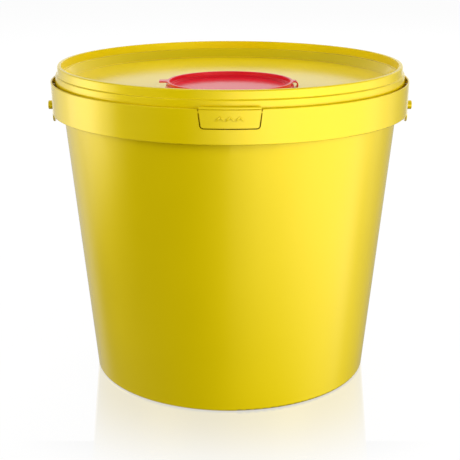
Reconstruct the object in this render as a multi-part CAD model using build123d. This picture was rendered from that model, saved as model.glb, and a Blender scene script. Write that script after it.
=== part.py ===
from build123d import *
import os
from math import asin, cos, degrees, hypot, radians, tan

# Medical waste bucket of about ten litres: a yellow bucket with a guard collar, a yellow lid that
# hooks over its rim, and a red closure in the lid, made of a ring, a strap hinge and a cap.
# Millimetres. The origin is the middle of the standing surface, +Z is up and the tear tab faces -Y.

# Wall and base of the bucket
wall_base_r = 108.4          # outside of the wall, carried down to the standing surface
wall_draft = 5.51            # degrees from upright
wall_t = 1.6
base_t = 2.0
base_lift = 3.0              # the base panel stands above the foot by this
foot_w = 2.6
foot_round = 2.0
base_inner_round = 4.0
gate_well_r = 7.0            # shallow well under the base, where the moulding was fed
gate_well_deep = 0.7

# Rim of the bucket
rim_z = 235.5                # flat top of the rim: the lid sits on it
stack_step = 1.5             # the neck stands out from the wall inside by this
neck_t = 1.5
rim_w = 2.4
rim_bead_h = 2.6
rim_round = 0.5

# Guard collar round the rim, with its floor between the collar and the neck
collar_reach = 5.8           # collar's outside at its top, beyond the rim's outside
collar_drop = 3.7            # collar's top edge, below the rim
collar_h = 24.3
collar_t = 1.3
collar_draft = 1.6
collar_round = 0.5
moat_deep = 14.4
moat_floor_t = 1.6
web_count = 24               # webs under the moat floor, from the wall to the collar
web_t = 1.2
web_h = 6.8
bite = 0.5                   # how far a web or rib runs into what it joins
guide_rib_angle = 11.0       # ribs in the moat, each side of each ear
guide_rib_t = 1.2
guide_rib_drop = 1.1         # their tops, below the collar's top edge

# Ear and handle stud on each side
ear_w = 12.0
ear_below = 12.9             # from the stud's axis down to the ear's lowest point
ear_above = 8.5
ear_t = 1.4
ear_proud = 1.0              # beyond the collar's outside, at the stud
ear_round = 0.4
stud_rise = 2.6              # stud's axis above the collar's lower edge
stud_r = 3.4
stud_len = 3.6
stud_round = 0.6

# Tear tab, cut out of the collar and held by two small bridges
tab_top_half_w = 21.4        # half width between the slots' middles, at the collar's top edge
tab_low_half_w = 19.7
tab_h = 13.4
tab_corner_r = 2.4
slot_w = 0.8
slot_reach = 1.0             # how far the slot's cut reaches beyond the collar
bridge_h = 0.9
bridge_drop = 1.8            # top of each bridge, below the collar's top edge
lip_rise = 1.5               # the tab's lip, above the collar's top edge
lip_proud = 0.8
lip_h = 2.3
lip_round = 0.6

# Lid
rim_clear = 0.5              # between the rim's outside and the lid's skirt
web_over_rim = 1.5           # lid material over the rim
skirt_t = 1.4
skirt_h = 15.0               # from the ledge down
skirt_flare = 0.6
snap_clear = 0.3             # the skirt's inner bead, beyond the rim's outside
snap_drop = 4.2              # the inner bead, below the rim's top
snap_h = 1.6
ledge_w = 1.5                # step outside, from the skirt to the stacking ring
ring_w = 2.9
ring_h = 6.5
ring_taper = 0.25
ring_round = 1.0
ledge_round = 0.6
inner_ledge_w = 1.75
recess_deep = 6.5            # from the ledge down to the panel
recess_run = 3.5             # how far the recess wall leans in
lid_t = 1.5

# Closure: a ring in the lid's panel, with a cap on a strap hinge
closure_y = -48.5            # the closure's middle lies towards the tab
neck_in_r = 42.0             # the way in
neck_wall = 1.4
hole_clear = 0.2
neck_below = 4.0             # below the lid's panel
hook_w = 0.9
hook_h = 1.6
shelf_w = 3.3                # shelf round the way in, under the cap's plug
shelf_t = 0.8
upstand_h = 4.1              # above the lid's panel
upstand_t = 1.5
flange_w = 1.0               # flange outside the upstand, on the lid's panel
flange_t = 1.3
plug_clear = 0.4             # round the cap's plug
plug_gap = 0.3               # under the cap's plug
cap_floor_t = 1.2
cap_recess = 4.0
cap_rim_overlap = 0.7        # how far the cap's rim sits over the upstand
cap_rim_w = 1.8
cap_step_w = 0.7
cap_step_h = 1.3
cap_recess_lean = 0.3
finger_w = 9.0
finger_len = 5.7             # beyond the cap's rim
finger_t = 1.0
finger_flare = 2.6
finger_round = 1.2
strap_w = 8.0
strap_t = 1.0
strap_bulge = 2.7            # how far the strap's loop stands out from its roots
strap_root_gap = 1.2         # from the cap's rim to the strap's root

# Worked out from the sizes above: bucket
def wall_r(z):
    """Outside radius of the bucket's wall at a height."""
    return wall_base_r + z * tan(radians(wall_draft))


wall_across = wall_t / cos(radians(wall_draft))
collar_z = rim_z - collar_drop
collar_low_z = collar_z - collar_h
moat_z = collar_z - moat_deep
neck_r = wall_r(moat_z) - wall_across + stack_step + neck_t
rim_in_r = neck_r - neck_t
rim_r = rim_in_r + rim_w
collar_r = rim_r + collar_reach
stud_z = collar_low_z + stud_rise


def collar_out(z):
    """Outside radius of the guard collar at a height."""
    return collar_r - (collar_z - z) * tan(radians(collar_draft))


# Worked out from the sizes above: lid
skirt_in_r = rim_r + rim_clear
skirt_r = skirt_in_r + skirt_t
ledge_z = rim_z + web_over_rim
skirt_low_z = ledge_z - skirt_h
ring_z = ledge_z + ring_h
ring_r = skirt_r - ledge_w
ring_in_r = ring_r - ring_w
ledge_in_r = ring_in_r - inner_ledge_w
crease_r = ledge_in_r - recess_run
panel_z = ledge_z - recess_deep
panel_low_z = panel_z - lid_t

# Worked out from the sizes above: closure
neck_out_r = neck_in_r + neck_wall
hole_r = neck_out_r + hole_clear
upstand_z = panel_z + upstand_h
shelf_z = panel_z + shelf_t
plug_z = shelf_z + plug_gap
floor_z = plug_z + cap_floor_t
cap_z = floor_z + cap_recess
flange_z = panel_z + flange_t
upstand_in_r = neck_in_r + shelf_w
upstand_r = upstand_in_r + upstand_t
flange_r = upstand_r + flange_w
plug_r = upstand_in_r - plug_clear
cap_r = upstand_in_r + cap_rim_overlap
cap_in_r = cap_r - cap_rim_w
strap_root_x = cap_r + strap_root_gap
strap_low_z = flange_z - strap_t


def rounded(corners):
    """A flat face inside an outline: rows of two places and the rounding of that corner."""
    points = [(u, v) for u, v, _ in corners]
    return make_face(FilletPolyline(*points, radius=[r for _, _, r in corners], close=True))


def turned(corners, angle=360):
    """A solid turned about Z from its half section: rows of radius, height and corner rounding."""
    return revolve(Plane.XZ * rounded(corners), Axis.Z, angle)


def upright_prism(face, y_from, y_to):
    """A flat face drawn in X and Z, as a prism between two places along Y."""
    return Pos(0, y_to, 0) * extrude(Plane.XZ * face, amount=y_to - y_from)


def radial_plate(r_from, r_to, z_from, z_to, thickness, angle):
    """An upright plate that points away from the axis, at an angle from +X in degrees."""
    plate = Box(r_to - r_from, thickness, z_to - z_from, align=(Align.MIN, Align.CENTER, Align.MIN))
    return Rot(0, 0, angle) * Pos(r_from, 0, z_from) * plate


def bucket_shell():
    """Wall, base and foot, neck, rim bead, moat floor and guard collar, turned as one section."""
    base_top = base_lift + base_t
    foot_r = wall_base_r - foot_round * tan(radians(45 - wall_draft / 2))
    moat_low = moat_z - moat_floor_t
    bead_low = rim_z - rim_bead_h
    bead_lip = rim_r - neck_r
    section = [
        (0, base_lift + gate_well_deep, 0),
        (gate_well_r, base_lift + gate_well_deep, 0.3),
        (gate_well_r, base_lift, 0.3),
        (foot_r - foot_w, base_lift, 0.8),
        (foot_r - foot_w, 0, 0.3),
        (wall_base_r, 0, foot_round),
        (wall_r(moat_low), moat_low, 0.6),
        (collar_out(moat_low) - collar_t, moat_low, 0.4),
        (collar_out(collar_low_z) - collar_t, collar_low_z, collar_round),
        (collar_out(collar_low_z), collar_low_z, collar_round),
        (collar_r, collar_z, collar_round),
        (collar_r - collar_t, collar_z, collar_round),
        (collar_out(moat_z) - collar_t, moat_z, 0.6),
        (neck_r, moat_z, 0.6),
        (neck_r, bead_low - bead_lip, 0),
        (rim_r, bead_low, 0.3),
        (rim_r, rim_z, rim_round),
        (rim_in_r, rim_z, rim_round),
        (rim_in_r, moat_z, 0.5),
        (wall_r(moat_z) - wall_across, moat_z - stack_step, 0.5),
        (wall_r(base_top) - wall_across, base_top, base_inner_round),
        (0, base_top, 0),
    ]
    return turned(section)


def moat_webs():
    """Webs under the moat floor, which carry the collar on the wall."""
    top = moat_z - moat_floor_t + bite
    low = moat_z - moat_floor_t - web_h
    r_from = wall_r(low) - bite
    r_to = collar_out(low) - collar_t + bite
    return [
        radial_plate(r_from, r_to, low, top, web_t, k * 360 / web_count) for k in range(web_count)
    ]


def guide_ribs():
    """Short ribs in the moat beside the ears, which keep the lid's skirt in the middle."""
    r_from = skirt_r + skirt_flare + snap_clear
    r_to = collar_out(moat_z) - collar_t + bite
    top = collar_z - guide_rib_drop
    return [
        radial_plate(r_from, r_to, moat_z - bite, top, guide_rib_t, side + turn)
        for side in (0, 180)
        for turn in (-guide_rib_angle, guide_rib_angle)
    ]


def ear(side):
    """A round-ended pad on the collar with the handle's stud, at +X or -X."""
    pad_r = collar_out(stud_z) + ear_proud
    height = ear_above + ear_below
    pad_z = stud_z + (ear_above - ear_below) / 2
    band = Pos(0, 0, pad_z) * (Cylinder(pad_r, height) - Cylinder(pad_r - ear_t, height))
    outline = Pos(0, pad_z) * SlotOverall(height, ear_w, rotation=90)
    pad = band & extrude(Plane.YZ * outline, amount=side * (pad_r + stud_len))
    outer = pad.faces().sort_by(SortBy.AREA)[-2:].sort_by(lambda face: abs(face.center().X))[-1]
    pad = fillet(outer.edges(), ear_round)
    root = -ear_t / 2
    stud = turned([(0, root, 0), (stud_r, root, 0), (stud_r, stud_len, stud_round), (0, stud_len, 0)])
    return pad + Pos(side * pad_r, 0, stud_z) * Rot(0, side * 90, 0) * stud


def tab_outline(grow):
    """The tear tab's outline at the slot's middle line, made larger all round by grow."""
    top = collar_z + 2 * lip_rise
    lean = (tab_top_half_w - tab_low_half_w) / tab_h
    top_x = tab_top_half_w + lean * (top - collar_z) + grow
    low_x = tab_low_half_w + grow
    low = collar_z - tab_h - grow
    corner_r = tab_corner_r + grow
    return rounded([(-top_x, top, 0), (-low_x, low, corner_r), (low_x, low, corner_r), (top_x, top, 0)])


def tab_slot():
    """What is cut from the collar round the tear tab, all but its two bridges."""
    bridge_top = collar_z - bridge_drop
    bridge = Rectangle(4 * tab_top_half_w, bridge_h, align=(Align.CENTER, Align.MAX))
    slot = tab_outline(slot_w / 2) - tab_outline(-slot_w / 2) - Pos(0, bridge_top) * bridge
    return upright_prism(slot, -collar_r - slot_reach, -(neck_r + skirt_r + skirt_flare) / 2)


def tab_lip():
    """The finger lip along the top of the tear tab."""
    half_angle = degrees(asin((tab_top_half_w - slot_w) / collar_r))
    top = collar_z + lip_rise
    section = [
        (collar_r - collar_t, collar_z - collar_round - bite, 0),
        (collar_r - collar_t, top, lip_round),
        (collar_r + lip_proud, top, lip_round),
        (collar_r + lip_proud, top - lip_h + lip_proud, 0.3),
        (collar_out(top - lip_h), top - lip_h, 0),
        (collar_out(top - lip_h) - bite, top - lip_h, 0),
    ]
    return Rot(0, 0, -90 - half_angle) * turned(section, 2 * half_angle)


def make_bucket():
    """The bucket, one moulding."""
    return bucket_shell() + moat_webs() + guide_ribs() + [ear(1), ear(-1)] - tab_slot() + tab_lip()


def make_lid():
    """The lid: panel, recess wall, stacking ring, and the skirt that hooks over the rim."""
    lean = recess_run / recess_deep
    across = lid_t * hypot(1, lean)

    def under_r(z):
        return crease_r + (z - panel_z) * lean + across

    snap_r = rim_r + snap_clear
    snap_z = rim_z - snap_drop
    skirt_low_in_r = skirt_in_r + skirt_flare
    snap_root = skirt_in_r + skirt_flare * snap_drop / skirt_h
    section = [
        (0, panel_z, 0),
        (crease_r, panel_z, 0.8),
        (ledge_in_r, ledge_z, ledge_round),
        (ring_in_r - ring_taper, ledge_z, ledge_round),
        (ring_in_r, ring_z, 0.3),
        (ring_r, ring_z, ring_round),
        (ring_r + ring_taper, ledge_z, ledge_round),
        (skirt_r, ledge_z, ledge_round),
        (skirt_r + skirt_flare, skirt_low_z, 0.5),
        (skirt_low_in_r, skirt_low_z, 0.4),
        (snap_root, snap_z - snap_h / 2, 0),
        (snap_r, snap_z, 0.4),
        (snap_root, snap_z + snap_h / 2, 0),
        (skirt_in_r, rim_z, 0.4),
        (under_r(rim_z), rim_z, 0.4),
        (under_r(panel_low_z), panel_low_z, 0.8),
        (0, panel_low_z, 0),
    ]
    hole = Pos(0, closure_y, panel_z) * Cylinder(hole_r, 4 * lid_t)
    return turned(section) - hole


def make_closure_ring():
    """The ring pressed into the lid's hole: neck with its hook, shelf, flange and upstand."""
    neck_low = panel_low_z - neck_below
    section = [
        (neck_in_r, shelf_z, 0.3),
        (upstand_in_r, shelf_z, 0),
        (upstand_in_r, upstand_z, 0.3),
        (upstand_r, upstand_z, 0.4),
        (upstand_r, flange_z, 0.4),
        (flange_r, flange_z, 0.5),
        (flange_r, panel_z, 0),
        (neck_out_r, panel_z, 0),
        (neck_out_r, panel_low_z, 0),
        (neck_out_r + hook_w, panel_low_z, 0.2),
        (neck_out_r, panel_low_z - hook_h, 0),
        (neck_out_r, neck_low, 0.4),
        (neck_in_r, neck_low, 0.4),
    ]
    flat = Box(flange_r, strap_w, 2 * flange_t, align=(Align.MIN, Align.CENTER, Align.CENTER))
    ring = turned(section) - Pos(strap_root_x, 0, flange_z) * flat
    return Pos(0, closure_y, 0) * ring


def make_closure_strap():
    """The strap hinge: a loop from the ring's flange up to the cap's rim."""
    out_x = strap_root_x + strap_bulge
    in_x = out_x - strap_t
    bend = strap_bulge - 0.05
    corners = [
        (strap_root_x, cap_z, 0),
        (out_x, cap_z, bend),
        (out_x, strap_low_z, bend),
        (strap_root_x, strap_low_z, 0),
        (strap_root_x, strap_low_z + strap_t, 0),
        (in_x, strap_low_z + strap_t, bend - strap_t),
        (in_x, cap_z - strap_t, bend - strap_t),
        (strap_root_x, cap_z - strap_t, 0),
    ]
    return upright_prism(rounded(corners), closure_y - strap_w / 2, closure_y + strap_w / 2)


def cap_wing(length, width, thickness, flare, side):
    """A flat tongue on the cap's rim at +X or -X, with hollow flares at its root."""
    tongue = Rectangle(cap_r + length, width, align=(Align.MIN, Align.CENTER))
    outline = Circle(cap_r) + tongue
    roots = outline.vertices().filter_by(lambda v: abs(hypot(v.X, v.Y) - cap_r) < 0.01)
    outline = fillet(roots.filter_by(lambda v: abs(v.Y) > width / 4), flare)
    outline = outline - Circle(cap_r - cap_rim_w / 2)
    plate = Pos(0, 0, cap_z - thickness) * extrude(outline, amount=thickness)
    return plate if side > 0 else Rot(0, 0, 180) * plate


def make_closure_cap():
    """The cap: rim, recessed floor, plug, finger tab and the root of the strap."""
    step_r = cap_in_r - cap_recess_lean
    section = [
        (0, floor_z, 0),
        (step_r - cap_step_w, floor_z, 0.6),
        (step_r - cap_step_w, floor_z + cap_step_h, 0.2),
        (step_r, floor_z + cap_step_h, 0.2),
        (cap_in_r, cap_z, 0.4),
        (cap_r, cap_z, 0.5),
        (cap_r, upstand_z, 0),
        (plug_r, upstand_z, 0),
        (plug_r, plug_z, 0.5),
        (0, plug_z, 0),
    ]
    finger = cap_wing(finger_len, finger_w, finger_t, finger_flare, -1)
    finger = fillet(finger.edges().filter_by(Axis.Z).sort_by(Axis.X)[:2], finger_round)
    strap_root = cap_wing(strap_root_gap, strap_w, strap_t, 0.8, 1)
    return Pos(0, closure_y, 0) * (turned(section) + finger + strap_root)


pieces = {
    "bucket": make_bucket(),
    "lid": make_lid(),
    "closure_ring": make_closure_ring(),
    "closure_strap": make_closure_strap(),
    "closure_cap": make_closure_cap(),
}

os.makedirs("parts", exist_ok=True)
for name, shape in pieces.items():
    solids = shape.solids()
    print(name, len(solids), "solid, volume", round(sum(s.volume for s in solids) / 1000, 1), "cm3")
    export_step(solids[0] if len(solids) == 1 else Compound(solids), os.path.join("parts", name + ".step"))
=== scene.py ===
# %% [markdown]
# # A medical waste bucket, dressed and lit
# The bucket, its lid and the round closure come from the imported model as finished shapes. Here they
# get their plastics, the small things that are only seen from close by, and a plain studio. All
# lengths are in metres, the standing surface is z = 0 and the tear tab looks along -Y.

# %% The frame
import math

import bpy
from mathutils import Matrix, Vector


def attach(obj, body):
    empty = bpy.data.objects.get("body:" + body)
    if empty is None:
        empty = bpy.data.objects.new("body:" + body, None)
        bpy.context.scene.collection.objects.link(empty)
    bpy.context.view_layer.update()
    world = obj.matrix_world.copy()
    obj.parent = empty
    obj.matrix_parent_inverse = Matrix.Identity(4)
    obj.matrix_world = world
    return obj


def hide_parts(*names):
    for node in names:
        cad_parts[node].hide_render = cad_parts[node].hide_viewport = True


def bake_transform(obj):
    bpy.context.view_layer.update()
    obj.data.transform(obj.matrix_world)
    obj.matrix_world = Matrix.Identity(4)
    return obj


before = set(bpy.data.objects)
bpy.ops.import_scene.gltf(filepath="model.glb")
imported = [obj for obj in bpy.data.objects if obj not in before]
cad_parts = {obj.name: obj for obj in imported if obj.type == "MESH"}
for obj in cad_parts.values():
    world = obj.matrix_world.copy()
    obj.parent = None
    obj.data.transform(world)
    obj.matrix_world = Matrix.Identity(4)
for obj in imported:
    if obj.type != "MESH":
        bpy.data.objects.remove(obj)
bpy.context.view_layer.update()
mm = 0.001
print("nodes:", sorted(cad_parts))

# %% [markdown]
# ## The camera
# The photograph was taken from a little above the lid with a long lens. Eight rings of the bucket
# were traced in the picture, and a camera was fitted to them, so its place can be written down as
# plain numbers: how far away, how high and how far it looks down.

# %% Camera
camera_distance = 853.8 * mm
camera_height = 364.1 * mm
camera_down_degrees = 16.6965
camera_lens_mm = 86.46
camera_sensor_mm = 36
camera_nearest = 0.01

bpy.ops.object.camera_add(
    location=(0, -camera_distance, camera_height),
    rotation=(math.radians(90 - camera_down_degrees), 0, 0),
)
camera = bpy.context.object
camera.name = "photo_camera"
camera.data.sensor_width = camera_sensor_mm
camera.data.lens = camera_lens_mm
camera.data.clip_start = camera_nearest
bpy.context.scene.camera = camera
print("camera at", tuple(round(v, 4) for v in camera.location))

# %% [markdown]
# ## Helpers for node trees
# A material is a small program made of nodes, and the world is one too. These short helpers keep the
# later cells readable. They add a node and fill its inputs, do a sum, mix two shaders, start an empty
# material and join a shader to the output.


# %% Node helpers
def feed(tree, given, socket):
    """Fills an input socket: with a link from an output socket, or with a plain value."""
    if isinstance(given, bpy.types.NodeSocket):
        tree.links.new(given, socket)
    else:
        socket.default_value = given


def add_node(tree, kind, **inputs):
    """A new node of that kind, with some of its inputs filled by name."""
    node = tree.nodes.new(kind)
    for name, given in inputs.items():
        feed(tree, given, node.inputs[name.replace("_", " ")])
    return node


def math_node(tree, operation, first, second):
    """What a Math node makes of two inputs."""
    node = add_node(tree, "ShaderNodeMath")
    node.operation = operation
    feed(tree, first, node.inputs[0])
    feed(tree, second, node.inputs[1])
    return node.outputs[0]


def mix_shaders(tree, share, first, second):
    """Two shader nodes mixed: the share of the second goes from 0 to 1."""
    mix = add_node(tree, "ShaderNodeMixShader", Fac=share)
    tree.links.new(first.outputs[0], mix.inputs[1])
    tree.links.new(second.outputs[0], mix.inputs[2])
    return mix


def empty_material(name):
    """A new material that has no nodes yet."""
    material = bpy.data.materials.new(name)
    material.use_nodes = True
    material.node_tree.nodes.clear()
    return material


def put_out(tree, shader, kind="ShaderNodeOutputMaterial"):
    """Joins a shader node to the output of its tree."""
    out = add_node(tree, kind)
    tree.links.new(shader.outputs[0], out.inputs[0])


white = (1, 1, 1, 1)
print("helpers ready")

# %% [markdown]
# ## The studio
# The photograph shows a white studio. The wall of the bucket is satin, so what it mirrors matters as
# much as what lights it: a broad bright side on the right, a dark gap left of the middle and a
# narrow bright strip far left. The wall leans, so its foot mirrors lower directions than its rim, and
# those are darker. Softboxes on stands could give this, but then each would change several places at
# once. So the world holds it as three colour ramps round the object, one above the other, and a
# plainer level above them. Each ramp is a row of directions, in degrees from the camera round to the
# right of the picture, with the light level that comes from there.

# %% World levels
rim_band = [
    (-178, 0.5), (-150, 0.57), (-128, 0.85), (-116, 1.8), (-97, 2.5), (-84, 1.4), (-72, 0.2), (-30, 0.0),
    (-10, 0.42), (4, 1.45), (22, 2.1), (60, 1.85), (98, 1.48), (118, 0.72), (136, 0.25), (178, 0.5),
]
wall_band = [
    (-178, 0.42), (-140, 0.46), (-118, 0.06), (-106, 0.06), (-88, 0.04), (-72, 0.0), (-26, 0.0),
    (-8, 0.08), (8, 0.6), (24, 0.96), (60, 1.48), (96, 1.4), (117, 0.33), (134, 0.24), (178, 0.35),
]
foot_band = [
    (-178, 0.1), (-130, 0.38), (-108, 0.19), (-25, 0.01), (8, 0.01), (28, 0.01), (54, 0.03), (80, 0.24),
    (94, 0.08), (110, 0.03), (128, 0.03), (178, 0.1),
]
foot_until = -0.59
wall_from = -0.42
wall_until = -0.38
rim_from = -0.24
rim_until = -0.02
above_from = 0.16
above_front = 0.1
above_back = 0.55
above_spread = 0.7
brightest = max(level for band in (rim_band, wall_band, foot_band) for _, level in band)
print("brightest level:", brightest)


# %% World ramps
def ring_of_light(tree, turn, stops):
    """A grey level that depends on the direction round the object. The ramp begins straight behind."""
    ramp = add_node(tree, "ShaderNodeValToRGB")
    ramp.color_ramp.interpolation = "EASE"
    tree.links.new(turn, ramp.inputs[0])
    elements = ramp.color_ramp.elements
    while len(elements) < len(stops):
        elements.new(0.5)
    for element, (degrees_right, level) in zip(elements, stops):
        element.position = (degrees_right + 180) / 360
        element.color = (level / brightest,) * 3 + (1,)
    return ramp.outputs[0]


def going_up(tree, height, low, high, lower, upper):
    """Passes from one level to another between two heights of the direction."""
    share = add_node(tree, "ShaderNodeMapRange", Value=height, From_Min=low, From_Max=high)
    mix = add_node(tree, "ShaderNodeMix")
    for index, given in ((0, share.outputs[0]), (2, lower), (3, upper)):
        feed(tree, given, mix.inputs[index])
    return mix.outputs[0]


world = bpy.data.worlds.new("white_studio")
bpy.context.scene.world = world
world.use_nodes = True
tree = world.node_tree
tree.nodes.clear()
looked_at = add_node(tree, "ShaderNodeTexCoord").outputs["Generated"]
direction = add_node(tree, "ShaderNodeSeparateXYZ", Vector=looked_at)
height = direction.outputs["Z"]
toward_camera = math_node(tree, "MULTIPLY", direction.outputs["Y"], -1)
turn = math_node(tree, "ARCTAN2", direction.outputs["X"], toward_camera)
turn = math_node(tree, "ADD", math_node(tree, "DIVIDE", turn, 2 * math.pi), 0.5)
rings = [ring_of_light(tree, turn, band) for band in (foot_band, wall_band, rim_band)]
print("rings of light:", len(rings))

# %% [markdown]
# ## The rings, joined
# Going up, each ring passes smoothly into the next, and the highest into the level above, which only
# changes from front to back. This light falls on the bucket and is mirrored by it. The camera sees
# plain white instead, the background of the photograph, and the Light Path node tells them apart.

# %% World, joined
above = add_node(
    tree, "ShaderNodeMapRange", Value=direction.outputs["Y"],
    From_Min=-above_spread, From_Max=above_spread,
    To_Min=above_front / brightest, To_Max=above_back / brightest,
).outputs[0]
foot_ring, wall_ring, rim_ring = rings
level = going_up(tree, height, foot_until, wall_from, foot_ring, wall_ring)
level = going_up(tree, height, wall_until, rim_from, level, rim_ring)
level = going_up(tree, height, rim_until, above_from, level, above)
strength = math_node(tree, "MULTIPLY", level, brightest)
studio_light = add_node(tree, "ShaderNodeBackground", Color=white, Strength=strength)
seen_white = add_node(tree, "ShaderNodeBackground", Color=white, Strength=1.0)
rays = add_node(tree, "ShaderNodeLightPath").outputs
seen = math_node(tree, "MAXIMUM", rays["Is Camera Ray"], rays["Is Transmission Ray"])
put_out(tree, mix_shaders(tree, seen, studio_light, seen_white), "ShaderNodeOutputWorld")
bpy.context.scene.view_settings.view_transform = "Standard"
print("world made")

# %% [markdown]
# ## Starting with nothing selected
# So every piece starts with this helper.


# %% Nothing selected
def clear_selection():
    """Goes to object mode and leaves nothing selected."""
    if bpy.context.object and bpy.context.object.mode != "OBJECT":
        bpy.ops.object.mode_set(mode="OBJECT")
    bpy.ops.object.select_all(action="DESELECT")


clear_selection()
print("selected:", len(bpy.context.selected_objects))

# %% [markdown]
# ## The floor
# The floor is white paper under clear acrylic: it takes a faint soft shadow, and close to the bucket
# it mirrors it, which fades within a hand's width. A rough mirror can't fade like that, so the share
# of mirror in the mix falls with the distance from the axis. Only the camera sees the floor: the
# light that comes up from it is already in the lower ramps of the world.

# %% Floor
floor_size = 8.0
floor_grey = (0.9, 0.9, 0.9, 1)
paper_glow = 0.96
mirror_rough = 0.02
mirror_near = 0.38
mirror_far = 0.0
mirror_reach = 0.12
foot_radius = 106.5 * mm

clear_selection()
bpy.ops.mesh.primitive_plane_add(size=floor_size, location=(0, 0, 0))
floor = bpy.context.object
floor.name = "studio_floor"
floor.visible_diffuse = False
floor.visible_glossy = False
floor.visible_shadow = False

paper = empty_material("white_floor")
tree = paper.node_tree
distance = add_node(tree, "ShaderNodeVectorMath")
distance.operation = "LENGTH"
tree.links.new(add_node(tree, "ShaderNodeTexCoord").outputs["Object"], distance.inputs[0])
fade = add_node(
    tree, "ShaderNodeMapRange", Value=distance.outputs["Value"],
    From_Min=foot_radius, From_Max=foot_radius + mirror_reach,
    To_Min=mirror_near, To_Max=mirror_far,
)
fade.interpolation_type = "SMOOTHSTEP"
lit = add_node(tree, "ShaderNodeBsdfDiffuse", Color=floor_grey)
glow = add_node(tree, "ShaderNodeEmission", Strength=1.0)
mirror = add_node(tree, "ShaderNodeBsdfGlossy", Color=white, Roughness=mirror_rough)
put_out(tree, mix_shaders(tree, fade.outputs[0], mix_shaders(tree, paper_glow, lit, glow), mirror))
floor.data.materials.append(paper)
print("floor made")

# %% [markdown]
# ## A white card behind the bucket
# What the floor mirrors beside the bucket is the studio behind it, which is a little grey, so the
# paper would get a grey rim. A photographer hangs a white card there. This one hangs above what the
# bucket's wall mirrors and below what the lid mirrors, as the camera sees them, and only mirror rays
# see it.

# %% White card
card_across = 640 * mm
card_foot = 100 * mm
card_top = 315 * mm
card_back = 450 * mm

clear_selection()
bpy.ops.mesh.primitive_plane_add(
    size=1, location=(0, card_back, (card_foot + card_top) / 2), rotation=(math.radians(90), 0, 0),
)
card = bpy.context.object
card.name = "white_card"
card.scale = (card_across, card_top - card_foot, 1)
bpy.ops.object.transform_apply(location=True, rotation=True, scale=True)
card.visible_camera = False
card.visible_diffuse = False
card.visible_transmission = False
card.visible_shadow = False

card_white = empty_material("white_card")
tree = card_white.node_tree
put_out(tree, add_node(tree, "ShaderNodeEmission", Strength=1.0))
card.data.materials.append(card_white)
print("card made")

# %% [markdown]
# ## Lamps
# Three large soft lamps give the shape its soft shadows: one on each side in front, and one high up
# behind, which lights the lid. They are hidden from gloss, because the world already holds what the
# plastic mirrors.

# %% Lamps
lamp_aim = Vector((0, 0, 0.12))


def soft_lamp(name, place, size, watts):
    """A square area lamp at a place, turned towards the middle of the bucket."""
    bpy.ops.object.light_add(type="AREA", location=place)
    lamp = bpy.context.object
    lamp.name = name
    lamp.data.size = size
    lamp.data.energy = watts
    lamp.rotation_euler = (lamp_aim - Vector(place)).to_track_quat("-Z", "Y").to_euler()
    lamp.visible_glossy = False


soft_lamp("lamp_right", place=(1.7, -1.4, 0.7), size=1.2, watts=50)
soft_lamp("lamp_left", place=(-1.6, -1.2, 0.7), size=1.2, watts=32)
soft_lamp("lamp_back", place=(0.3, 1.7, 1.6), size=1.4, watts=56)

# %% [markdown]
# ## A shared effect: the skin of a moulding
# Injection-moulded plastic is smooth but never perfect: it carries the mould's very fine grain, and
# its gloss drifts a little where the melt flowed. Both plastics need that, so it is one node group
# with its own inputs. It puts out only what changes over the surface.

# %% Moulded skin group
noise_low = 0.3
noise_high = 0.7
skin = bpy.data.node_groups.new("moulded_skin", "ShaderNodeTree")
skin_inputs = {"Grain Scale": 900.0, "Flow Scale": 14.0, "Roughness Low": 0.34, "Roughness High": 0.4}
for name, value in skin_inputs.items():
    made = skin.interface.new_socket(name=name, in_out="INPUT", socket_type="NodeSocketFloat")
    made.default_value = value
for name in ("Height", "Roughness", "Tone"):
    skin.interface.new_socket(name=name, in_out="OUTPUT", socket_type="NodeSocketFloat")
given = add_node(skin, "NodeGroupInput").outputs
put = add_node(skin, "NodeGroupOutput").inputs
place = add_node(skin, "ShaderNodeTexCoord").outputs["Object"]
grain = add_node(skin, "ShaderNodeTexNoise", Vector=place, Scale=given["Grain Scale"], Detail=2.0)
flow = add_node(skin, "ShaderNodeTexNoise", Vector=place, Scale=given["Flow Scale"], Detail=3.0)
gloss_drift = add_node(
    skin, "ShaderNodeMapRange", Value=flow.outputs[0], From_Min=noise_low, From_Max=noise_high,
    To_Min=given["Roughness Low"], To_Max=given["Roughness High"],
)
skin.links.new(grain.outputs[0], put["Height"])
skin.links.new(gloss_drift.outputs[0], put["Roughness"])
skin.links.new(flow.outputs[0], put["Tone"])
print("group:", skin.name)

# %% [markdown]
# ## Two plastics
# The bucket and its lid are a strong warm yellow, the closure is signal red. Both show two shines. A
# wide satin one is tinted by the pigment, so part of the shine takes the base colour: that is what
# the Metallic value does here, at about one half. Over it lies a tighter white one, strong only at
# grazing angles: the Coat holds that.

# %% Plastics
tinted_shine = 0.45
satin_rough = (0.34, 0.4)
white_shine_rough = 0.16
white_shine_ior = 1.49
grain_depth = 4e-6
grain_strength = 0.3


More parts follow.
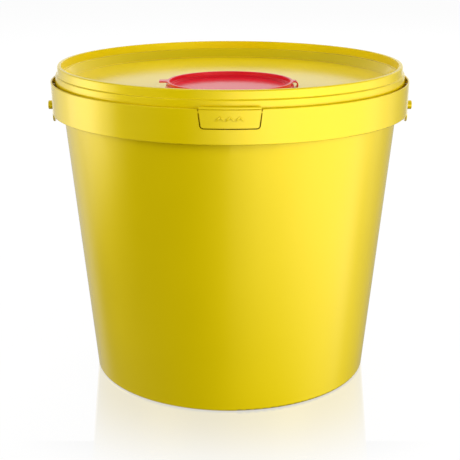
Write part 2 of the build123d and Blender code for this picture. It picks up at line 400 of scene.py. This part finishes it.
def plastic(name, deep, light):
    """A moulded plastic that drifts between two near tones, with a tinted and a white shine."""
    material = empty_material(name)
    tree = material.node_tree
    skin_node = add_node(tree, "ShaderNodeGroup")
    skin_node.node_tree = skin
    skin_node.inputs["Roughness Low"].default_value = satin_rough[0]
    skin_node.inputs["Roughness High"].default_value = satin_rough[1]
    tone = add_node(tree, "ShaderNodeMix")
    tone.data_type = "RGBA"
    for index, given in ((0, skin_node.outputs["Tone"]), (6, deep + (1,)), (7, light + (1,))):
        feed(tree, given, tone.inputs[index])
    bump = add_node(
        tree, "ShaderNodeBump", Strength=grain_strength, Distance=grain_depth,
        Height=skin_node.outputs["Height"],
    )
    shader = add_node(
        tree, "ShaderNodeBsdfPrincipled", Base_Color=tone.outputs[2], Metallic=tinted_shine,
        Roughness=skin_node.outputs["Roughness"], Normal=bump.outputs[0], Specular_IOR_Level=0.0,
        Coat_Weight=1.0, Coat_Roughness=white_shine_rough, Coat_IOR=white_shine_ior,
    )
    put_out(tree, shader)
    return material


yellow = plastic("yellow_plastic", deep=(0.82, 0.622, 0.001), light=(0.86, 0.655, 0.0015))
red = plastic("red_plastic", deep=(0.78, 0.006, 0.022), light=(0.82, 0.008, 0.026))
node_finish = {
    "bucket": yellow, "lid": yellow,
    "closure_ring": red, "closure_strap": red, "closure_cap": red,
}
for name, material in node_finish.items():
    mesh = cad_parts[name].data
    mesh.materials.clear()
    mesh.materials.append(material)
print("finishes:", {name: material.name for name, material in node_finish.items()})

# %% [markdown]
# ## The mark on the tear tab
# A raised mark on the tab shows which way it pulls: a row of three chevrons that point up. It could
# be a curve with a bevel, but a small mesh has flat tops and crisp corners. Each chevron is a flat
# strip bent at the middle: a plane is stretched, its far end is let down, it gets a thickness, and a
# mirror makes the other arm. The middle one is modelled and the others are copies of it, turned
# about the bucket's axis. A chevron is so small that the round collar is flat under it.

# %% Middle chevron
mark_z = 225.3 * mm
mark_surface = 137.285 * mm
mark_lean_degrees = 1.6
mark_height = 0.6 * mm
mark_sunk = 0.25 * mm
arm_across = 2.5 * mm
arm_wide = 1.5 * mm
arm_drop = 2.0 * mm

clear_selection()
bpy.ops.mesh.primitive_plane_add(size=1, location=(0, 0, 0))
middle = bpy.context.object
middle.scale = (arm_across, arm_wide, 1)
middle.location = (arm_across / 2, 0, -mark_sunk)
bpy.ops.object.transform_apply(location=True, rotation=True, scale=True)
bpy.ops.object.mode_set(mode="EDIT")
bpy.ops.mesh.select_mode(type="VERT")
bpy.ops.mesh.select_all(action="DESELECT")
bpy.ops.object.mode_set(mode="OBJECT")
for vertex in middle.data.vertices:
    vertex.select = vertex.co.x > arm_across / 2
bpy.ops.object.mode_set(mode="EDIT")
bpy.ops.transform.translate(value=(0, -arm_drop, 0))
bpy.ops.mesh.select_all(action="SELECT")
bpy.ops.mesh.extrude_region_move(TRANSFORM_OT_translate={"value": (0, 0, mark_sunk + mark_height)})
bpy.ops.mesh.select_all(action="SELECT")
bpy.ops.mesh.normals_make_consistent(inside=False)
bpy.ops.object.mode_set(mode="OBJECT")
mirror_arm = middle.modifiers.new("other_arm", "MIRROR")
mirror_arm.use_mirror_merge = False
bpy.ops.object.modifier_apply(modifier="other_arm")
middle.rotation_euler = (math.radians(90 + mark_lean_degrees), 0, 0)
middle.location = (0, -mark_surface, mark_z + arm_drop / 2)
bpy.ops.object.transform_apply(location=True, rotation=True, scale=True)
print("middle chevron:", len(middle.data.polygons), "faces")

# %% Row of chevrons
mark_step_degrees = 2.75
mark_edge = 0.12 * mm
smooth_under_degrees = 40


def soften_edges(piece, width):
    """Rounds the sharp edges of the active piece a little and shades the rest smooth."""
    soften = piece.modifiers.new("soft_edges", "BEVEL")
    soften.width = width
    soften.segments = 2
    soften.limit_method = "ANGLE"
    bpy.ops.object.modifier_apply(modifier=soften.name)
    bpy.ops.object.shade_smooth_by_angle(angle=math.radians(smooth_under_degrees))


chevrons = [middle]
for degrees_right in (-mark_step_degrees, mark_step_degrees):
    clear_selection()
    middle.select_set(True)
    bpy.context.view_layer.objects.active = middle
    bpy.ops.object.duplicate()
    side = bpy.context.object
    side.rotation_euler = (0, 0, math.radians(degrees_right))
    bpy.ops.object.transform_apply(location=True, rotation=True, scale=True)
    chevrons.append(side)
clear_selection()
for piece in chevrons:
    piece.select_set(True)
bpy.context.view_layer.objects.active = middle
bpy.ops.object.join()
tab_mark = bpy.context.object
tab_mark.name = "tab_mark"
soften_edges(tab_mark, mark_edge)
tab_mark.data.materials.append(yellow)
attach(tab_mark, "bucket_body")
print("tab mark:", len(tab_mark.data.polygons), "faces")

# %% [markdown]
# ## The strap hinge
# The closure's strap is a short band that leaves the ring, loops outwards and comes back to the cap.
# It bends when the cap opens, so it needs enough cross lines. It could be a swept curve. A spin says
# more plainly what it is: the band's end section, a plane, is turned half a circle about the middle
# of the loop, then drawn in a little so that the loop is as shallow as the real one.

# %% Strap hinge
strap_root = Vector((47.2, -48.5, 233.8)) * mm
strap_height = 6.0 * mm
strap_thick = 1.0 * mm
strap_wide = 8.0 * mm
strap_steps = 28
merge_within = 0.001 * mm

clear_selection()
end_place = strap_root + Vector((0, 0, strap_height / 2 - strap_thick / 2))
bpy.ops.mesh.primitive_plane_add(size=1, location=end_place, rotation=(0, math.radians(90), 0))
strap = bpy.context.object
strap.name = "strap_hinge"
strap.scale = (strap_thick, strap_wide, 1)
bpy.ops.object.transform_apply(location=True, rotation=True, scale=True)
bpy.ops.object.mode_set(mode="EDIT")
bpy.ops.mesh.select_all(action="SELECT")
bpy.ops.mesh.spin(steps=strap_steps, angle=-math.pi, center=strap_root, axis=(0, 1, 0))
bpy.ops.mesh.select_all(action="SELECT")
bpy.ops.mesh.remove_doubles(threshold=merge_within)
bpy.ops.mesh.normals_make_consistent(inside=False)
bpy.ops.object.mode_set(mode="OBJECT")
print("strap size in mm:", [round(v / mm, 2) for v in strap.dimensions])

# %% [markdown]
# ## The strap, drawn in and joined to both sides
# The half circle is drawn in towards its root, so the piece's origin goes there for that step and
# back afterwards. It stands in for the stiff strap of the model, which is hidden.

# %% Strap finish
strap_reach = 2.7 * mm
strap_edge = 0.15 * mm

bpy.context.scene.cursor.location = strap_root
bpy.ops.object.origin_set(type="ORIGIN_CURSOR")
strap.scale = (strap_reach / (strap_height / 2), 1, 1)
bpy.ops.object.transform_apply(location=False, rotation=False, scale=True)
bpy.context.scene.cursor.location = (0, 0, 0)
bpy.ops.object.origin_set(type="ORIGIN_CURSOR")
soften_edges(strap, strap_edge)
strap.data.materials.append(red)
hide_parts("closure_strap")
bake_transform(strap)
print("strap:", len(strap.data.polygons), "faces")
